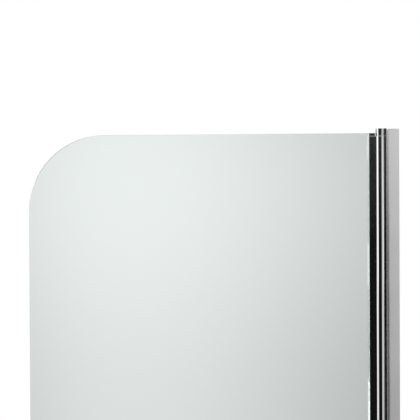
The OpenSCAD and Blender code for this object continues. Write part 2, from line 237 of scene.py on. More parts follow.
def filled(lines):
    """Triangles, counter-clockwise, over the area inside the first closed line and outside the others.

    They are a Delaunay net that keeps every side of the lines. Its points are numbered in the lines' order.
    """
    flat = np.vstack(lines)
    centred = (flat - flat.mean(0)).tolist()
    starts = np.cumsum([0] + [len(n) for n in lines])
    loops = [list(range(s, s + len(n))) for s, n in zip(starts, lines)]
    loops = [loop if signed_area(n) > 0 else loop[::-1] for loop, n in zip(loops, lines)]
    inside_lines = 1
    _, _, tris, names, _, owners = delaunay_2d_cdt(centred, [], loops, inside_lines, 1e-7)
    return np.array([[names[i][0] for i in tri] for tri, owner in zip(tris, owners) if list(owner) == [0]])


def bar(lines, low, high, edge, along="z", at=(0, 0, 0), levels=0, guard=0.3, steps=4):
    """Closed lines carried from low to high. The first is the outer one and the others are holes.

    Near each end the lines move into the metal by edge * (1 - sin a), at the height edge * (1 - cos a) from
    the end, with a from 0 to a quarter turn, which rounds the rim. Gives points, faces of four and of three.
    """
    lines = [n if (signed_area(n) > 0) == (k == 0) else n[::-1] for k, n in enumerate(lines)]
    flat = np.vstack(lines)
    moves = np.vstack([into_metal(n) for n in lines])
    a = np.linspace(0, math.pi / 2, steps + 1)
    inset = np.concatenate([[edge + guard / 2], edge * (1 - np.sin(a)), [0.0]])
    rise = np.concatenate([[0.0], edge * (1 - np.cos(a)), [edge + guard]])
    between = np.linspace(low + rise[-1], high - rise[-1], levels + 2)[1:-1]
    inset = np.concatenate([inset, np.zeros(levels), inset[::-1]])
    height = np.concatenate([low + rise, between, high - rise[::-1]])
    rings = flat[None] + moves[None] * inset[:, None, None]
    points = np.concatenate([rings, np.broadcast_to(height[:, None, None], rings.shape[:2] + (1,))], 2)
    total, ring_count = len(flat), len(height)
    starts = np.cumsum([0] + [len(n) for n in lines])
    here = np.arange(total)
    after = np.concatenate([s + (np.arange(len(n)) + 1) % len(n) for s, n in zip(starts, lines)])
    k = (np.arange(ring_count - 1) * total)[:, None]
    quads = np.stack([k + here, k + after, k + total + after, k + total + here], -1).reshape(-1, 4)
    cap = filled([rings[0, s:s + len(n)] for s, n in zip(starts, lines)])
    ends = np.vstack([cap + (ring_count - 1) * total, cap[:, ::-1]])
    return placed(points.reshape(-1, 3), along, at), quads, ends


def turned(rows, along="z", at=(0, 0, 0), around=TURN, closed=False):
    """Rings about an axis, one for each row (radius, height).

    A radius is one number, or one for each direction. A closed profile joins its last ring to its first.
    Rings of no radius become a point in the mesh.
    """
    radius = np.array([np.broadcast_to(r, around) for r, _ in rows], float)
    height = np.array([h for _, h in rows], float)
    a = np.arange(around) * 2 * math.pi / around
    tall = np.broadcast_to(height[:, None], radius.shape)
    points = np.stack([radius * np.cos(a), radius * np.sin(a), tall], -1).reshape(-1, 3)
    k = (np.arange(len(height) if closed else len(height) - 1))[:, None]
    upper = ((k + 1) % len(height)) * around
    i, j = np.arange(around), (np.arange(around) + 1) % around
    quads = np.stack([k * around + i, k * around + j, upper + j, upper + i], -1).reshape(-1, 4)
    return placed(points, along, at), quads, np.zeros((0, 3), int)


def turned_rod(rows, **place):
    """A rod turned from a profile of rows (radius, height, rounding), from pole to pole.

    The outline closes along the axis, so it is rolled to start at the lower pole and cut at the upper one.
    """
    line = outline(*rows, steps=4, guard=0.12)
    lower_pole = int(np.argmin(line[:, 0] * 1000 + line[:, 1]))
    line = np.roll(line, -lower_pole, 0)
    upper_pole = int(np.argmax(line[1:, 0] < 1e-6)) + 1
    return turned(line[:upper_pole + 1], **place)


def over(shape):
    """The same shape at the other end of the screen: mirrored upside down, with its faces turned back."""
    points, quads, tris = shape
    return points * [1, 1, -1] + [0, 0, SCREEN_H], quads[:, ::-1], tris[:, ::-1]


def at_end(end, shape):
    """A shape made for the bottom end, turned over if it is for the top end."""
    return over(shape) if end == "top" else shape


def object_of(name, *shapes):
    """A mesh object in metres from shapes in millimetres. Unused points go, doubled ones merge."""
    points = np.vstack([p for p, _, _ in shapes])
    starts = np.cumsum([0] + [len(p) for p, _, _ in shapes])
    nets = [net + start for (_, *both), start in zip(shapes, starts) for net in both]
    used = np.zeros(len(points), bool)
    used[np.concatenate([net.ravel() for net in nets])] = True
    number = np.cumsum(used) - 1
    faces = [face for net in nets for face in number[net].tolist()]
    mesh = bpy.data.meshes.new(name)
    mesh.from_pydata((points[used] * MM).tolist(), [], faces)
    edit = bmesh.new()
    edit.from_mesh(mesh)
    bmesh.ops.remove_doubles(edit, verts=edit.verts, dist=2e-7)
    edit.to_mesh(mesh)
    edit.free()
    made = bpy.data.objects.new(name, mesh)
    bpy.context.scene.collection.objects.link(made)
    return made


def carve(made, shapes, operation="DIFFERENCE"):
    """The object with each shape taken out of it, or joined to it."""
    tools = [object_of("tool", s) for s in shapes]
    for tool in tools:
        step = made.modifiers.new("carve", "BOOLEAN")
        step.operation = operation
        step.solver = "EXACT"
        step.object = tool
    mesh = bpy.data.meshes.new_from_object(made.evaluated_get(bpy.context.evaluated_depsgraph_get()))
    edit = bmesh.new()
    edit.from_mesh(mesh)
    bmesh.ops.dissolve_degenerate(edit, edges=edit.edges, dist=1e-6)
    edit.to_mesh(mesh)
    edit.free()
    made.modifiers.clear()
    made.data = mesh
    for tool in tools:
        bpy.data.objects.remove(tool)
    return made


def hole(d, depth_in, depth_out, flare, along, at):
    """A cutter for a drilled hole: a rod of diameter d that opens out by flare on both sides of the metal."""
    r, wide = d / 2, d / 2 + flare
    rows = ((0, -depth_out), (wide, -depth_out), (wide, 0), (r, flare),
            (r, depth_in - flare), (wide, depth_in), (wide, depth_in + depth_out), (0, depth_in + depth_out))
    return turned(rows, along, at, DRILL_TURN)


def crowned_faces(corner):
    """Rows of the channel's two outer faces, front then rear: a flat bevel by the open edge, then an arc.

    The arc runs to the wall, and its radius is the square of its reach over twice its fall. The faces stay a
    hair inside the solid's.
    """
    skin, lip = 0.03, 0.05
    crest, reach = CHANNEL_W / 2 - skin, CHANNEL_D - BEVEL
    r = reach ** 2 / (2 * (CROWN - skin))
    turn = math.degrees(math.asin(reach / r))
    front = arc(-reach, r - crest, r, -90, turn - 90, 20)
    front[-1, 2] = corner
    front = np.vstack([(-CHANNEL_D, lip - SEAT_Y, corner), front])
    return front, front[::-1] * [1, -1, 1]


def wall_channel():
    """The channel's section carried up the wall, with its fixing and clamp holes drilled."""
    front, rear = crowned_faces(0.5)
    inner, port_r = CHANNEL_IN / 2, PEG_PORT_R + PORT_WALL
    spread = math.degrees(math.acos((-CHANNEL_WEB - PEG_X) / port_r))
    bumps = [arc(PEG_X, y, port_r, spread, 360 - spread, 17, 0.2) for y in (PEG_Y, -PEG_Y)]
    section = outline(front, rear, (-CHANNEL_D, inner, 0.4), (-CHANNEL_WEB, inner, 0.5), *bumps,
                      (-CHANNEL_WEB, -inner, 0.5), (-CHANNEL_D, -inner, 0.4))
    ports = [ring_line(PEG_X, y, PEG_PORT_R) for y in (PEG_Y, -PEG_Y)]
    cuts = [hole(FIXING_D, CHANNEL_WEB, 1, 0.3, "x", (-CHANNEL_WEB, 0, z)) for z in FIXING_Z]
    spot_r, past = CLAMP_HEAD_D / 2 + GAP, 3.0
    spot = ((0, 0), (spot_r, 0), (spot_r, past), (0, past))
    for z in CLAMP_Z:
        cuts.append(hole(CLAMP_D + 2 * FIT, SEAT_Y - inner, 0.5, 0.15, "y", (CLAMP_X, inner, z)))
        cuts.append(turned(spot, "y", (CLAMP_X, SEAT_Y, z)))
    return carve(object_of("wall_channel_section", bar([section, *ports], 0, CHANNEL_H, 0.15)), cuts)


def wall_channel_cap():
    """A plate with the channel's outline and soft rims, on two pegs with tapered ends."""
    plate = bar([outline(*crowned_faces(0.8))], CHANNEL_H, WALL_CAP_TOP, 0.5)
    r, top = PEG_D / 2, PEG_L + 1
    rows = ((0, 0, 0), (r - 0.4, 0, 0.2), (r, 1.2, 0.3), (r, top, 0), (0, top, 0))
    pegs = [turned_rod(rows, at=(PEG_X, y, CHANNEL_H - PEG_L), around=SMALL_TURN) for y in (PEG_Y, -PEG_Y)]
    return carve(object_of("wall_channel_cap_plate", plate), pegs, "UNION")


def socket_screw(d, length, head_d, head_h, socket, pitch, along, at):
    """A socket screw, head first: its rings leave the socket's floor and end at the thread's tip.

    The hexagon's radius is its half width over the cosine of the angle to the nearest flat's middle. The
    thread's radius swings between root and crest as a triangle wave of height over pitch, less the turn.
    """
    turn = np.arange(DRILL_TURN) * 2 * math.pi / DRILL_TURN
    flat = (turn + math.pi / 6) % (math.pi / 3) - math.pi / 6
    hexagon = socket / 2 / np.cos(flat)
    r, head_r, floor = d / 2, head_d / 2, 0.6 * head_h
    head = [(0, floor), (0.9 * hexagon, floor), (hexagon, floor - 0.08), (hexagon, 0.18),
            (hexagon + 0.12, 0.05), (hexagon + 0.3, 0), (head_r - 0.45, 0), (head_r - 0.3, 0.02),
            (head_r - 0.09, 0.12), (head_r, 0.35), (head_r, head_h - 0.2), (head_r - 0.15, head_h),
            (r + 0.1, head_h)]
    up = np.arange(head_h + 0.2, length - 0.5, pitch / 8)
    wave = np.abs(((up[:, None] / pitch - turn[None] / (2 * math.pi)) % 1) * 2 - 1)
    fade = np.clip((up - head_h - 0.2) / pitch, 0, 1)[:, None]
    thread = r - 0.54 * pitch * np.clip(1.25 * wave - 0.125, 0, 1) * fade
    tip = [(r - 0.45 * pitch, length - 0.3), (r - 0.75 * pitch, length), (0, length)]
    return turned([*head, *zip(thread, up), *tip], along, at, DRILL_TURN)


def clamp_screws():
    """Three screws with their heads on the channel's spot faces and their threads in the nut plates."""
    head_y = SEAT_Y + CLAMP_HEAD_H
    sizes = (CLAMP_D, head_y - NUT_Y, CLAMP_HEAD_D, CLAMP_HEAD_H, CLAMP_SOCKET, CLAMP_PITCH)
    return object_of("clamp_screw_set", *[socket_screw(*sizes, "-y", (CLAMP_X, head_y, z)) for z in CLAMP_Z])


def clamp_nut_plates():
    """Three plates with round corners and a bored middle."""
    x, y, soft = NUT_H / 2, NUT_W / 2, 1.0
    line = outline((-x, -y, soft), (x, -y, soft), (x, y, soft), (-x, y, soft))
    bore = ring_line(0, 0, CLAMP_D / 2 + FIT, DRILL_TURN)
    plates = [bar([line, bore], NUT_Y, NUT_Y + NUT_T, 0.25, "y", (CLAMP_X, 0, z)) for z in CLAMP_Z]
    return object_of("clamp_nut_set", *plates)


def clamp_screw_covers():
    """Three domed covers, each turned about its screw: the dome falls away with the square of the radius."""
    low, high, r = CHANNEL_W / 2, CHANNEL_W / 2 + COVER_H, COVER_D / 2
    recess_r, recess_y = CLAMP_HEAD_D / 2 + FIT, SEAT_Y + CLAMP_HEAD_H + FIT
    shoulder, fall = 0.9, 0.35
    dome = np.linspace(r - shoulder, 0, 9)
    top = np.column_stack([dome, high - fall * (dome / r) ** 2, np.zeros(9)])
    rows = ((0, recess_y, 0), (recess_r, recess_y, 0.2), (recess_r, low, 0.15),
            (r, low, 0.2), (r, high - 1.1, 0.5), *top)
    return object_of("clamp_cover_set", *[turned_rod(rows, along="y", at=(CLAMP_X, 0, z)) for z in CLAMP_Z])


def post_profile():
    """The post's section carried between the hinge caps, with its clamp slots cut.

    The cup's arc is broken by two grooves for the sealing cords. A groove's mouth is where its own circle
    meets the cup's, which the law of cosines gives, and it turns from one side of its mouth to the other.
    """
    spread = math.degrees(math.acos((PORT_X - TONGUE_FLOOR) / PORT_R))
    bumps = [arc(PORT_X, y, PORT_R, spread - 180, 180 - spread, 17, 0.2) for y in (-PORT_Y, PORT_Y)]
    horn = math.degrees(math.acos((HORN_X - PIVOT_X) / CUP_R))
    groove_r = CORD_R + FIT
    mouth = math.acos((CORD_ORBIT ** 2 + CUP_R ** 2 - groove_r ** 2) / (2 * CORD_ORBIT * CUP_R))
    side = math.degrees(math.asin(CUP_R * math.sin(mouth) / groove_r))
    upper, lower = CORD_ANGLE + math.degrees(mouth), CORD_ANGLE - math.degrees(mouth)
    cup = []
    for start, end, count, cord in ((horn, upper, 5, CORD_ANGLE), (lower, -lower, 25, -CORD_ANGLE)):
        cup.append(arc(PIVOT_X, 0, CUP_R, start, end, count, 0.15))
        x = PIVOT_X + CORD_ORBIT * math.cos(math.radians(cord))
        y = CORD_ORBIT * math.sin(math.radians(cord))
        cup.append(arc(x, y, groove_r, cord + 180 - side, cord - 180 + side, 13)[1:-1])
    cup.append(arc(PIVOT_X, 0, CUP_R, -upper, -horn, 5, 0.15))
    section = outline(
        (HORN_X, -FLANGE_Y, 0.35), (SHOULDER_X, -FLANGE_Y, 0.4), (SHOULDER_X, -TONGUE_Y, 0.15),
        (TONGUE_END, -TONGUE_Y, 0.4), (TONGUE_END, -TONGUE_IN, 0.4), (TONGUE_FLOOR, -TONGUE_IN, 0.4), *bumps,
        (TONGUE_FLOOR, TONGUE_IN, 0.4), (TONGUE_END, TONGUE_IN, 0.4), (TONGUE_END, TONGUE_Y, 0.4),
        (SHOULDER_X, TONGUE_Y, 0.15), (SHOULDER_X, FLANGE_Y, 0.4), (HORN_X, FLANGE_Y, 0.35), *cup)
    ports = [ring_line(PORT_X, y, PORT_BORE) for y in (-PORT_Y, PORT_Y)]
    body = bar([section, *ports], HINGE_CAP_H, SCREEN_H - HINGE_CAP_H, 0.1, guard=0.08)
    slot_r = CLAMP_D / 2 + GAP
    ends = arc(0, CLAMP_X, slot_r, 180, 360, 17), arc(0, CLAMP_X + TRAVEL, slot_r, 0, 180, 17)
    slot = np.vstack(ends)[:, :2]
    slots = [bar([slot], TONGUE_IN - 1, TONGUE_Y + 1, 0.0, "y", (0, 0, z)) for z in CLAMP_Z]
    return carve(object_of("post_profile_section", body), slots)


def post_seal(face):
    """A sealing cord in its groove: a round section with shallow flutes where it bears on the metal.

    The flutes follow the cosine of six times the turn, away from the tube.
    """
    turn = math.radians(SIDE[face] * CORD_ANGLE)
    a = np.arange(DRILL_TURN) * 2 * math.pi / DRILL_TURN
    flutes = np.clip(np.cos(6 * (a - turn)), 0, 1) * (np.cos(a - turn) > -0.4)
    r = CORD_R * (1 - 0.06 * flutes)
    x, y = PIVOT_X + CORD_ORBIT * math.cos(turn), CORD_ORBIT * math.sin(turn)
    line = np.column_stack([x + r * np.cos(a), y + r * np.sin(a)])
    return object_of("post_seal_cord_" + face, bar([line], HINGE_CAP_H, SCREEN_H - HINGE_CAP_H, 0.1))


def hinge_cap(end):
    """A casting: a round head over the tube, a block over the flange and a foot in the channel.

    It is bored for the pin, and bored and sunk for the two screws.
    """
    spread = math.degrees(math.acos((HORN_X - PIVOT_X) / HEAD_R))
    head = outline((HORN_X, -FLANGE_Y, 0.3), (SHOULDER_X, -FLANGE_Y, 0.4), (SHOULDER_X, FLANGE_Y, 0.4),
                   (HORN_X, FLANGE_Y, 0.3), arc(PIVOT_X, 0, HEAD_R, spread, 360 - spread, 41, 0.4))
    root = SHOULDER_X - 1
    foot = outline((root, -TONGUE_Y, 0.5), (FOOT_END, -TONGUE_Y, 0.8), (FOOT_END, TONGUE_Y, 0.8),
                   (root, TONGUE_Y, 0.5))
    pin_r, mouth, past = PIN_R + FIT, HINGE_CAP_H - 0.4, HINGE_CAP_H + 0.1
    pin_hole = ((0, PIN_Z[0]), (pin_r, PIN_Z[0]), (pin_r, mouth), (pin_r + 0.5, past), (0, past))
    cuts = [turned(pin_hole, at=(PIVOT_X, 0, 0))]
    seat, past = FOOT_Z + CAP_SCREW_HEAD_H + FIT, HINGE_CAP_H + 1
    head_r, core_r = CAP_SCREW_HEAD_D / 2 + FIT, CAP_SCREW_D / 2 + GAP
    screw_hole = ((0, -1), (head_r, -1), (head_r, seat), (core_r, seat), (core_r, past), (0, past))
    cuts += [turned(screw_hole, at=(PORT_X, y, 0)) for y in (-PORT_Y, PORT_Y)]
    made = object_of("hinge_cap_casting_" + end, at_end(end, bar([head], 0, HINGE_CAP_H, 0.26, guard=0.04)))
    made = carve(made, [at_end(end, bar([foot], FOOT_Z, HINGE_CAP_H - 0.02, 0.3))], "UNION")
    return carve(made, [at_end(end, cut) for cut in cuts])


def hinge_cap_screws(end):
    """Two screws through the cap into the post's ports."""
    z, along = (SCREEN_H - FOOT_Z, "-z") if end == "top" else (FOOT_Z, "z")
    length = HINGE_CAP_H - FOOT_Z + CAP_SCREW_BITE
    sizes = (CAP_SCREW_D, length, CAP_SCREW_HEAD_D, CAP_SCREW_HEAD_H, CAP_SCREW_SOCKET, CAP_SCREW_PITCH)
    screws = [socket_screw(*sizes, along, (PORT_X, y, z)) for y in (-PORT_Y, PORT_Y)]
    return object_of("hinge_cap_screw_pair_" + end, *screws)


def pivot_pin(end):
    """A ground pin with chamfered ends and a groove near the end that stands in the bush."""
    low, high = PIN_Z
    groove_r = PIN_R - 0.25
    rows = ((0, low, 0), (PIN_R - 0.6, low, 0.2), (PIN_R, low + 0.8, 0.3), (PIN_R, high - 4, 0.1),
            (groove_r, high - 3.7, 0.1), (groove_r, high - 3.1, 0.1), (PIN_R, high - 2.8, 0.1),
            (PIN_R, high - 1.2, 0.4), (PIN_R - 0.9, high, 0.3), (0, high, 0))
    return object_of("pivot_pin_turned_" + end, at_end(end, turned_rod(rows, at=(PIVOT_X, 0, 0))))


def thrust_washers():
    """Two flat rings with soft edges, one at each end of the tube."""
    inner, outer, soft = PIN_R + FIT, WASHER_R, 0.12
    low, high = WASHER_Z
    corners = ((inner, low, soft), (outer, low, soft), (outer, high, soft), (inner, high, soft))
    ring = turned(outline(*corners, steps=3, guard=0.1), at=(PIVOT_X, 0, 0), closed=True)
    return object_of("thrust_washer_pair", ring, over(ring))


def pivot_bush(end):
    """A flanged bush turned about the pin, with a lead at its inner end."""
    bore, low, step, high = PIN_R + FIT, LEAF_Z, LEAF_Z + BUSH_FLANGE_T, BUSH_TOP
    line = outline(
        (bore, low, 0.2), (BUSH_FLANGE_R, low, 0.2), (BUSH_FLANGE_R, step, 0.15), (BUSH_R, step, 0.1),
        (BUSH_R, high - 1.2, 0.3), (BUSH_R - 0.6, high, 0.2), (bore, high, 0.3), steps=3, guard=0.1)
    return object_of("pivot_bush_moulded_" + end, at_end(end, turned(line, at=(PIVOT_X, 0, 0), closed=True)))


def leaf_profile():
    """The tube and its two lips, one section carried between the hinge caps.

    The bore is turned by itself, stepped for the bushes' flanges, and takes the place of the wall that the
    section's hole would have. Its mouths start on the points where that hole's line stands at the ends.
    """
    join = math.degrees(math.asin(LIP_Y / TUBE_R))
    section = outline(
        (LIPS_X, -LIP_Y, 0.6), arc(PIVOT_X, 0, TUBE_R, join - 180, 180 - join, 97, 0.4), (LIPS_X, LIP_Y, 0.6),
        (LIPS_X, SLOT_Y, 0.3), (SLOT_X, SLOT_Y, 0.4), (SLOT_X, -SLOT_Y, 0.4), (LIPS_X, -SLOT_Y, 0.3))
    edge, guard, lead = 0.05, 0.3, 0.15
    low, depth, seat_r = LEAF_Z, LEAF_Z + BUSH_FLANGE_T + FIT, BUSH_FLANGE_R + FIT
    lines = [section, ring_line(PIVOT_X, 0, seat_r, TURN)]
    points, quads, tris = bar(lines, low, SCREEN_H - low, edge, guard=guard)
    outside = quads[:, 0] % (len(section) + TURN) < len(section)
    mouth = seat_r + (edge + guard / 2) / math.cos(math.pi / TURN)
    half = [(mouth, low), (seat_r + lead, low), (seat_r, low + lead), (seat_r, depth), (BORE_R, depth)]
    bore = turned([(r, SCREEN_H - z) for r, z in half] + half[::-1], at=(PIVOT_X, 0, 0))
    return object_of("leaf_profile_section", (points, quads[outside], tris), bore)


def glass_panel():
    """The pane's outline carried through its thickness, its polished edge rounded on both faces."""
    low, high, left, hidden = GLASS_Z, SCREEN_H - GLASS_Z, -SCREEN_W, 3.0
    round_corner = arc(high - GLASS_CORNER_R, left + GLASS_CORNER_R, GLASS_CORNER_R, 0, -90, 73)
    corners = ((low, left, GLASS_FOOT_R), (low, GLASS_X, hidden), (high, GLASS_X, hidden))
    line = outline(*corners, round_corner, steps=12, guard=6)
    return object_of("glass_pane", bar([line], -GLASS_Y, GLASS_Y, GLASS_EDGE_R, "y", steps=8, guard=0.2))


def glass_gasket(face):
    """A strip in the slot with a thin nose outside it.

    The front one's nose flares out in some stretches, where it wasn't pushed home, and lies flat between
    them. The flare follows the cosine of the height over a flare's middle, with waves that get longer lower
    down, plus a fine sine. Its share grows with the square of the way down, to its full value at full_z.
    """
    inner, outer = GASKET_Y
    root, flared = NOSE_Y
    far, near = NOSE_X
    line = outline((GLASS_X, inner, 0.2), (GLASS_X, outer, 0.2), (near, outer, 0.15), (near, root, 0.1),
                   (far, flared if face == "front" else root, 0.15), (far, inner, 0.1))
    line = line * [1, SIDE[face]]
    points, quads, tris = bar([line], LEAF_Z, SCREEN_H - LEAF_Z, 0.07, levels=200, guard=0.04)
    flare_z, waves, more_waves, fine = 1116.0, 0.0036, 1.6e-6, 9.0
    first_z, full_z, least = 1352.0, 813.0, 0.3
    up = points[:, 2] - flare_z
    wave = np.cos(2 * math.pi * up * (waves + more_waves * up)) + 0.12 * np.sin(up / fine)
    share = least + (1 - least) * np.clip((first_z - points[:, 2]) / (first_z - full_z), 0, 1) ** 2
    flare = share * np.clip((wave - 0.3) / 0.4, 0, 1)
    proud = np.clip(SIDE[face] * points[:, 1] - root, 0, None) * (points[:, 0] < near - 0.001)
    points[:, 1] -= SIDE[face] * proud * (1 - flare)
    return object_of("glass_gasket_strip_" + face, (points, quads, tris))


def glass_setting_blocks():
    """Three blocks behind the glass, with soft edges."""
    (x0, x1), y, soft = BLOCK_X, SLOT_Y - FIT, 0.3
    line = outline((x0, -y, soft), (x1, -y, soft), (x1, y, soft), (x0, y, soft))
    blocks = [bar([line], z - BLOCK_L / 2, z + BLOCK_L / 2, 0.25, guard=0.06) for z in BLOCK_Z]
    return object_of("glass_setting_block_set", *blocks)


def glass_channel_cap(end):
    """A plate on the ends of the lips, slotted for the glass, with a peg in the slot behind it."""
    slot_x, slot_y = GLASS_X + FIT, GLASS_Y + FIT
    line = outline(
        (LIPS_X, -LIP_Y, 0.6), (END_CAP_X, -LIP_Y, 0.3), (END_CAP_X, LIP_Y, 0.3), (LIPS_X, LIP_Y, 0.6),
        (LIPS_X, slot_y, 0.25), (slot_x, slot_y, 0.2), (slot_x, -slot_y, 0.2), (LIPS_X, -slot_y, 0.25))
    plate = bar([line], GLASS_Z, LEAF_Z, 0.2, guard=0.06)
    near, far, y, soft = slot_x + FIT, END_CAP_X - FIT, SLOT_Y - GAP, 0.2
    peg_line = outline((near, -y, soft), (far, -y, soft), (far, y, soft), (near, y, soft))
    peg = bar([peg_line], (GLASS_Z + LEAF_Z) / 2, LEAF_Z + END_PEG_L, 0.15, guard=0.06)
    return carve(object_of("glass_channel_cap_plate_" + end, at_end(end, plate)), [at_end(end, peg)], "UNION")


def bottom_seal():
    """The seal's section carried along the glass: a base, two legs that grip it and two fins to the rim."""
    foot, top = SEAL_Z
    half, base = GLASS_Y + FIT, GLASS_Z - FIT - SEAL_BASE
    outer, root = half + SEAL_WALL, base + SEAL_BASE / 2
    lean = FIN_SPLAY * (root - base) / (root - foot)
    one = [(half + FIN_SPLAY, foot, 0.3), (outer + FIN_SPLAY, foot, 0.3), (outer, root, 0.6),
           (outer, top, 0.4), (half, top, 0.4), (half, base + SEAL_BASE, 0.3)]
    other = [(-y, z, r) for y, z, r in reversed(one)]
    line = outline(*one, *other, (-half - lean, base, 0.4), (half + lean, base, 0.4))
    return object_of("bottom_seal_strip", bar([line], *SEAL_X, 0.15, "x", levels=60, guard=0.2))


def put(tree, kind, sockets=(), **settings):
    """A shader node in the tree with its settings. Each socket gets a value, or is joined to an output."""
    made = tree.nodes.new("ShaderNode" + kind)
    for name, value in settings.items():
        setattr(made, name, value)
    for key, value in dict(sockets).items():
        if isinstance(value, bpy.types.NodeSocket):
            tree.links.new(value, made.inputs[key])
        else:
            made.inputs[key].default_value = value
    return made


def worked(tree, operation, *values):
    """What a sum, product or other operation gives."""
    return put(tree, "Math", dict(enumerate(values)), operation=operation).outputs[0]


def ranged(tree, value, start, end, low=0.0, high=1.0, **settings):
    """A value between start and end carried over to between low and high, and held there beyond."""
    sockets = {"Value": value, "From Min": start, "From Max": end, "To Min": low, "To Max": high}
    return put(tree, "MapRange", sockets, **settings).outputs[0]


def mixed(tree, share, one, other, kind="RGBA"):
    """One colour turning into another as the share goes from 0 to 1, or one number with the kind FLOAT."""
    return put(tree, "Mix", {"Factor": share, "A": one, "B": other}, data_type=kind).outputs["Result"]


def noise(tree, place, scale, detail=2.0, **sockets):
    """A smooth noise over a place, from 0 to 1."""
    return put(tree, "TexNoise", {"Vector": place, "Scale": scale, "Detail": detail, **sockets}).outputs[0]


def new_group(name, own):
    """A node group's tree, and what it is given.

    That is a place, its own values, its least and most roughness, and its darkest and lightest colour.
    """
    tree = bpy.data.node_groups.new(name, "ShaderNodeTree")
    tree.interface.new_socket("Vector", in_out="INPUT", socket_type="NodeSocketVector")
    given = {**own, "Smooth": 0.1, "Rough": 0.3, "Dark": (0.7, 0.7, 0.7, 1), "Light": (0.8, 0.8, 0.8, 1)}
    for label, value in given.items():
        kind = "NodeSocketColor" if isinstance(value, tuple) else "NodeSocketFloat"
        tree.interface.new_socket(label, in_out="INPUT", socket_type=kind).default_value = value
    return tree, tree.nodes.new("NodeGroupInput").outputs


def given_out(tree, colour, roughness, height):
    """The group's tree with its three results joined to its outputs."""
    rows = (("Color", "Color", colour), ("Roughness", "Float", roughness), ("Height", "Float", height))
    for label, kind, _ in rows:
        tree.interface.new_socket(label, in_out="OUTPUT", socket_type="NodeSocket" + kind)
    out = tree.nodes.new("NodeGroupOutput").inputs
    for label, _, result in rows:
        tree.links.new(result, out[label])
    return tree


def drawn_metal_group():
    """Fine lines along a drawn section, and slow changes of tone.

    Noise stretched along Z gives the lines, and an unstretched one gives the tone.
    """
    tree, given = new_group("drawn metal", {"Across": 900.0, "Along": 6.0})
    scales = {"X": given["Across"], "Y": given["Across"], "Z": given["Along"]}
    scale = put(tree, "CombineXYZ", scales).outputs[0]
    stretched = put(tree, "VectorMath", {0: given["Vector"], 1: scale}, operation="MULTIPLY").outputs[0]
    lines = noise(tree, stretched, 1.0, 4.0, Roughness=0.65)
    tone = noise(tree, given["Vector"], 9.0, 3.0)
    both = worked(tree, "MULTIPLY", lines, tone)
    roughness = ranged(tree, both, 0.12, 0.4, given["Smooth"], given["Rough"])
    return given_out(tree, mixed(tree, tone, given["Dark"], given["Light"]), roughness, lines)


def plated_group():
    """The skin of a plated piece: coarse noise for its waves, less the dips of a fine one for its pits."""
    tree, given = new_group("plated", {"Scale": 120.0})
    waves = noise(tree, given["Vector"], given["Scale"])
    grain = noise(tree, given["Vector"], 1800.0)
    height = worked(tree, "ADD", waves, ranged(tree, grain, 0.3, 0.42, -0.12, 0.0))
    roughness = ranged(tree, grain, 0.3, 0.7, given["Smooth"], given["Rough"])
    return given_out(tree, mixed(tree, waves, given["Dark"], given["Light"]), roughness, height)


def moulded_group():
    """The fine skin of a moulding: two sizes of noise, one for its grain and one for clouds in its colour."""
    tree, given = new_group("moulded", {"Grain": 900.0})
    grain = noise(tree, given["Vector"], given["Grain"], 3.0)
    clouds = noise(tree, given["Vector"], 40.0, 3.0)
    roughness = ranged(tree, clouds, 0.3, 0.7, given["Smooth"], given["Rough"])
    return given_out(tree, mixed(tree, clouds, given["Dark"], given["Light"]), roughness, grain)


def finish_of(name, group, own, roughness, tones, plain, bump, pale_shadow=None, tint=None, change=None):
    """A material whose colour, roughness and bump come from a group, its other values plain on the sockets.

    With pale_shadow, lamps' shadow rays pass it in that colour, as light passes clear glass. A tint is the
    colour and density of the light lost inside. A change (X from, X to, roughness factors, metallic values)
    turns one finish into another between two depths from the wall, in metres.
    """
    material = bpy.data.materials.new(name)
    material.use_nodes = True
    tree = material.node_tree
    tree.nodes.clear()
    place = put(tree, "TexCoord").outputs["Object"]
    given = {"Vector": place, **own}
    given["Smooth"], given["Rough"] = roughness
    given["Dark"], given["Light"] = ((*tone, 1) for tone in tones)
    effect = put(tree, "Group", given, node_tree=group).outputs
    strength, distance = bump
    height = {"Strength": strength, "Distance": distance, "Height": effect["Height"]}
    relief = put(tree, "Bump", height).outputs[0]
    shine = {"Base Color": effect["Color"], "Roughness": effect["Roughness"], "Normal": relief, **plain}
    if change:
        start, end, factors, metallic = change
        depth = put(tree, "SeparateXYZ", {0: place}).outputs["X"]
        factor = ranged(tree, depth, start, end, *factors)
        shine["Roughness"] = worked(tree, "MULTIPLY", effect["Roughness"], factor)
        shine["Metallic"] = ranged(tree, depth, start, end, *metallic)
    surface = put(tree, "BsdfPrincipled", shine).outputs[0]
    if pale_shadow:
        shadow_ray = put(tree, "LightPath").outputs["Is Shadow Ray"]
        clear = put(tree, "BsdfTransparent", {"Color": (*pale_shadow, 1)}).outputs[0]
        surface = put(tree, "MixShader", {0: shadow_ray, 1: surface, 2: clear}).outputs[0]
    output = put(tree, "OutputMaterial", {"Surface": surface})
    if tint:
        colour, density = tint
        lost = put(tree, "VolumeAbsorption", {"Color": (*colour, 1), "Density": density}).outputs[0]
        tree.links.new(lost, output.inputs["Volume"])
    return material


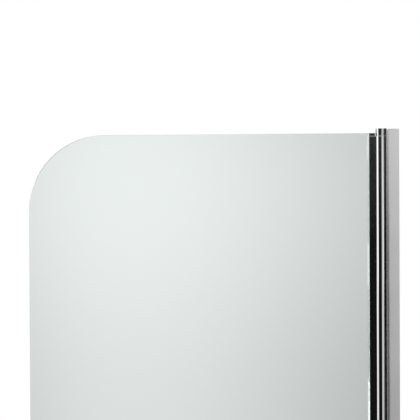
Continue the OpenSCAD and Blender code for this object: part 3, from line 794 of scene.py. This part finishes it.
def finishes():
    """Every finish of the screen by its slot in the record.

    The channel's bevels are drawn smoother than its faces. Its cap and covers are plated satin, not bright.
    """
    drawn, plated, moulded = drawn_metal_group(), plated_group(), moulded_group()
    metal, matt, clear = {"Metallic": 1.0}, {"Metallic": 0.0}, {"Metallic": 0.0, "Transmission Weight": 1.0}
    return {
        "bright_aluminium": finish_of(
            "bright aluminium", drawn, {"Across": 1400.0, "Along": 5.0}, (0.04, 0.1),
            ((0.8, 0.8, 0.81), (0.86, 0.86, 0.865)), metal, (0.03, 0.0001)),
        "satin_aluminium": finish_of(
            "satin aluminium", drawn, {"Across": 1800.0, "Along": 9.0}, (0.42, 0.5),
            ((0.65, 0.64, 0.64), (0.7, 0.69, 0.69)), metal, (0.05, 0.0001),
            change=(-0.0235, -0.0203, (0.48, 1.0), (0.88, 0.8))),
        "chromed_zinc": finish_of(
            "chromed zinc", plated, {"Scale": 190.0}, (0.03, 0.05),
            ((0.7, 0.71, 0.72), (0.79, 0.79, 0.8)), metal, (0.05, 0.0004)),
        "chromed_plastic": finish_of(
            "chromed plastic", plated, {"Scale": 260.0}, (0.06, 0.12),
            ((0.74, 0.75, 0.76), (0.84, 0.84, 0.85)), metal, (0.05, 0.0004),
            change=(-0.0288, -0.0276, (0.6, 4.5), (1.0, 0.78))),
        "stainless_steel": finish_of(
            "stainless steel", drawn, {"Across": 1500.0, "Along": 1500.0}, (0.18, 0.32),
            ((0.58, 0.58, 0.57), (0.7, 0.7, 0.69)), metal, (0.08, 0.0001)),
        "nylon": finish_of(
            "nylon", moulded, {"Grain": 1200.0}, (0.4, 0.55),
            ((0.09, 0.09, 0.092), (0.15, 0.15, 0.152)), matt, (0.1, 0.0001)),
        "black_rubber": finish_of(
            "black rubber", moulded, {"Grain": 1500.0}, (0.55, 0.75),
            ((0.018, 0.018, 0.018), (0.035, 0.035, 0.034)), matt, (0.25, 0.0001)),
        "clear_pvc": finish_of(
            "clear pvc", moulded, {"Grain": 60.0}, (0.03, 0.1),
            ((0.95, 0.97, 0.96), (0.98, 0.99, 0.985)), {**clear, "IOR": 1.5}, (0.1, 0.0004),
            pale_shadow=(0.85, 0.9, 0.88)),
        "clear_glass": finish_of(
            "clear glass", moulded, {"Grain": 14.0}, (0.0, 0.0),
            ((0.955, 0.985, 0.972), (0.965, 0.99, 0.98)), {**clear, "IOR": 1.52}, (0.02, 0.0002),
            pale_shadow=(0.86, 0.93, 0.9), tint=((0.15, 0.84, 0.6), 5.5)),
    }


def finished(made, node, body, material):
    """The object smoothed but for its sharp edges, with its material, standing for its CAD node."""
    sharp = math.radians(32)
    made.data.shade_smooth()
    made.data.set_sharp_from_angle(angle=sharp)
    made.data.materials.clear()
    made.data.materials.append(material)
    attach(made, body)
    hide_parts(node)


def dress():
    """Every piece made, finished and put in its CAD node's place. The node itself gets the same finish."""
    finish = finishes()
    bright, satin, zinc, plastic = "bright_aluminium", "satin_aluminium", "chromed_zinc", "chromed_plastic"
    steel, nylon, rubber, pvc = "stainless_steel", "nylon", "black_rubber", "clear_pvc"
    rows = (
        ("wall_channel", "wall_frame", satin, wall_channel()),
        ("wall_channel_cap", "wall_frame", plastic, wall_channel_cap()),
        ("clamp_screws", "wall_frame", steel, clamp_screws()),
        ("clamp_nut_plates", "wall_frame", steel, clamp_nut_plates()),
        ("clamp_screw_covers", "wall_frame", plastic, clamp_screw_covers()),
        ("post_profile", "hinge_post", bright, post_profile()),
        ("post_seal_front", "hinge_post", rubber, post_seal("front")),
        ("post_seal_rear", "hinge_post", rubber, post_seal("rear")),
        ("hinge_cap_top", "hinge_post", zinc, hinge_cap("top")),
        ("hinge_cap_bottom", "hinge_post", zinc, hinge_cap("bottom")),
        ("hinge_cap_screws_top", "hinge_post", steel, hinge_cap_screws("top")),
        ("hinge_cap_screws_bottom", "hinge_post", steel, hinge_cap_screws("bottom")),
        ("pivot_pin_top", "hinge_post", steel, pivot_pin("top")),
        ("pivot_pin_bottom", "hinge_post", steel, pivot_pin("bottom")),
        ("thrust_washers", "hinge_post", nylon, thrust_washers()),
        ("leaf_profile", "leaf", bright, leaf_profile()),
        ("pivot_bush_top", "leaf", nylon, pivot_bush("top")),
        ("pivot_bush_bottom", "leaf", nylon, pivot_bush("bottom")),
        ("glass_panel", "leaf", "clear_glass", glass_panel()),
        ("glass_gasket_front", "leaf", pvc, glass_gasket("front")),
        ("glass_gasket_rear", "leaf", pvc, glass_gasket("rear")),
        ("glass_setting_blocks", "leaf", rubber, glass_setting_blocks()),
        ("glass_channel_cap_top", "leaf", plastic, glass_channel_cap("top")),
        ("glass_channel_cap_bottom", "leaf", plastic, glass_channel_cap("bottom")),
        ("bottom_seal", "leaf", pvc, bottom_seal()),
    )
    for node, body, slot, made in rows:
        finished(made, node, body, finish[slot])
        own = frame["nodes"][node].data.materials
        own.clear()
        own.append(finish[slot])


# Cards round the studio: the turn from the dry side in degrees, then what level, falling and rising rays
# see
CARDS = (
    (-180, 0, 0, 0.7), (-157, 0, 0, 0.7), (-146, 0.1, 0.1, 0.7), (-113, 0.1, 0.1, 0.7),
    (-103, 0.1, 0.9, 0.7), (-87, 0.1, 1.0, 0.8), (-79, 1.5, 1.0, 1.5), (-61, 1.5, 0.95, 1.5),
    (-56, 1.4, 0.9, 0.7), (-51, 0.6, 0.1, 0.1), (-47, 0, 0, 0), (22, 0, 0, 0),
    (33, 0.62, 0.66, 0.4), (52, 0.65, 0.74, 0.55), (72, 0.69, 1.0, 0.6), (80, 0.7, 1.0, 0.7),
    (91, 1.25, 0.9, 1.25), (124, 1.25, 0.9, 1.25), (131, 0, 0, 0), (180, 0, 0, 0),
)


def seen_in_metal(tree, ray):
    """What polished metal shows: cards round a dark room, and a softbox overhead.

    The ray's turn from the dry side picks the card. Its red is the tone for level rays, its green the tone
    for falling ones, which dims with the fall, and its blue the tone for rising ones.
    """
    turn = worked(tree, "ARCTAN2", ray["X"], worked(tree, "MULTIPLY", ray["Y"], -1.0))
    cards = put(tree, "ValToRGB", {"Fac": worked(tree, "MULTIPLY_ADD", turn, 0.5 / math.pi, 0.5)})
    ramp = cards.color_ramp.elements
    for _ in CARDS[2:]:
        ramp.new(0.5)
    for stop, (degrees, *tones) in zip(ramp, CARDS):
        stop.position = degrees / 360 + 0.5
        stop.color = (*tones, 1)
    tones = put(tree, "SeparateColor", {0: cards.outputs[0]}).outputs
    falling = worked(tree, "MULTIPLY", tones["Green"], ranged(tree, ray["Z"], -0.2, -0.08, 0.9, 1.08))
    card = mixed(tree, ranged(tree, ray["Z"], -0.085, -0.06), falling, tones["Red"], "FLOAT")
    card = mixed(tree, ranged(tree, ray["Z"], 0.054, 0.058), card, tones["Blue"], "FLOAT")
    room = ranged(tree, ray["Z"], -0.03, 0.06, 0.006, 0.03)
    softbox = ranged(tree, ray["Z"], 0.3, 0.7, 1.8, 0.95)
    overhead = ranged(tree, ray["Z"], 0.07, 0.13, interpolation_type="SMOOTHSTEP")
    return mixed(tree, overhead, worked(tree, "MAXIMUM", card, room), softbox)


def cubic(tree, value, low, high, *factors):
    """A cubic of a value that is held between low and high. The factors run from the cube's down."""
    held = put(tree, "Clamp", {"Value": value, "Min": low, "Max": high}).outputs[0]
    total = factors[0]
    for factor in factors[1:]:
        total = worked(tree, "MULTIPLY_ADD", held, total, factor)
    return total


def seen_through_glass(tree, ray, bends):
    """The grey behind the glass: a cubic in each of the ray's two slopes, brightest left of the middle.

    Beyond it stands a light on each side. A ray that more surfaces have bent than a pane's two finds those
    lights reaching further round.
    """
    ahead = worked(tree, "MAXIMUM", worked(tree, "ABSOLUTE", ray["Y"]), 0.05)
    slope = worked(tree, "DIVIDE", ray["X"], ahead)
    rise = worked(tree, "DIVIDE", ray["Z"], ahead)
    across = cubic(tree, slope, -0.22, 0.13, 18.84, -3.71, -1.482, 0.829)
    upward = cubic(tree, rise, -0.2, 0.09, -24.0, -7.0, 0.21, 0.0)
    left = ranged(tree, slope, -0.23, -0.3, 0, 2.5)
    right = ranged(tree, slope, 0.26, 0.34, 0, 0.45)
    aside = worked(tree, "ABSOLUTE", slope)
    narrow, wide = ranged(tree, aside, 0.6, 0.5, 0, 1.4), ranged(tree, aside, 3.0, 2.5, 0, 1.25)
    strength = mixed(tree, worked(tree, "GREATER_THAN", bends, 2.5), narrow, wide, "FLOAT")
    lights = worked(tree, "MULTIPLY", worked(tree, "ADD", left, right), strength)
    lights = worked(tree, "MULTIPLY", lights, ranged(tree, ray["Z"], -0.26, -0.2))
    return worked(tree, "ADD", worked(tree, "ADD", across, upward), lights)


def studio():
    """The world: white to the camera, even light to matt surfaces, and a view each to metal and glass."""
    world = bpy.data.worlds.new("studio")
    bpy.context.scene.world = world
    world.use_nodes = True
    tree = world.node_tree
    tree.nodes.clear()
    ray = put(tree, "SeparateXYZ", {0: put(tree, "TexCoord").outputs["Generated"]}).outputs
    path = put(tree, "LightPath").outputs
    even, white = (0.62, 0.62, 0.62, 1), (1, 1, 1, 1)
    tone = mixed(tree, path["Is Glossy Ray"], even, seen_in_metal(tree, ray))
    behind = seen_through_glass(tree, ray, path["Transmission Depth"])
    tone = mixed(tree, path["Is Transmission Ray"], tone, behind)
    tone = mixed(tree, path["Is Camera Ray"], tone, white)
    put(tree, "OutputWorld", {"Surface": put(tree, "Background", {"Color": tone}).outputs[0]})


def floor():
    """A pale round floor at the height of the rim, fading into the white background towards its edge."""
    middle, height, around = SCREEN_W / 2, -0.5, 128
    rows = [(r, height) for r in (0, 400, 1200, 3000)]
    made = object_of("studio_floor", turned(rows, at=(-middle, 0, 0), around=around))
    material = bpy.data.materials.new("pale floor")
    material.use_nodes = True
    tree = material.node_tree
    tree.nodes.clear()
    start = put(tree, "TexCoord").outputs["Object"]
    place = put(tree, "VectorMath", {0: start, 1: (middle * MM, 0, 0)}, operation="ADD").outputs[0]
    far = put(tree, "VectorMath", {0: place}, operation="LENGTH").outputs["Value"]
    edge = ranged(tree, far, 0.7, 2.4, interpolation_type="SMOOTHSTEP")
    colour = mixed(tree, noise(tree, place, 3.0), (0.86, 0.86, 0.86, 1), (0.9, 0.9, 0.9, 1))
    matt = put(tree, "BsdfDiffuse", {"Color": colour}).outputs[0]
    white = put(tree, "Emission", {"Color": (1, 1, 1, 1)}).outputs[0]
    both = put(tree, "MixShader", {0: edge, 1: matt, 2: white}).outputs[0]
    put(tree, "OutputMaterial", {"Surface": both})
    made.data.materials.append(material)
    made.visible_glossy = False
    made.visible_transmission = False


def lamp(name, size, power, place, towards):
    """A square soft lamp that faces a point. Polished metal sees the studio's cards in its place."""
    data = bpy.data.lights.new(name, "AREA")
    data.size = size
    data.energy = power
    made = bpy.data.objects.new(name, data)
    made.location = place
    aim = np.array(towards, float) - np.array(place, float)
    made.rotation_euler = (math.atan2(math.hypot(aim[0], aim[1]), -aim[2]), 0, math.atan2(-aim[0], aim[1]))
    made.visible_glossy = False
    made.visible_transmission = False
    bpy.context.scene.collection.objects.link(made)


def camera():
    """The photograph's camera: nearly level and square to the screen, and rolled by a quarter of a degree."""
    data = bpy.data.cameras.new("camera")
    data.lens = 100
    made = bpy.data.objects.new("camera", data)
    made.location = (-0.299, -2.5213, 1.2454)
    tilt, roll, pan = 89.571, 0.259, 2.428
    made.rotation_euler = (math.radians(tilt), math.radians(roll), math.radians(pan))
    bpy.context.scene.collection.objects.link(made)
    bpy.context.scene.camera = made


dress()
studio()
floor()
lamp("key", 1.6, 36, (-2.2, -2.4, 2.6), (-0.4, 0, 0.8))
lamp("fill", 2.2, 16, (1.8, -2.6, 1.6), (-0.4, 0, 0.7))
camera()
bpy.context.scene.view_settings.view_transform = "Standard"
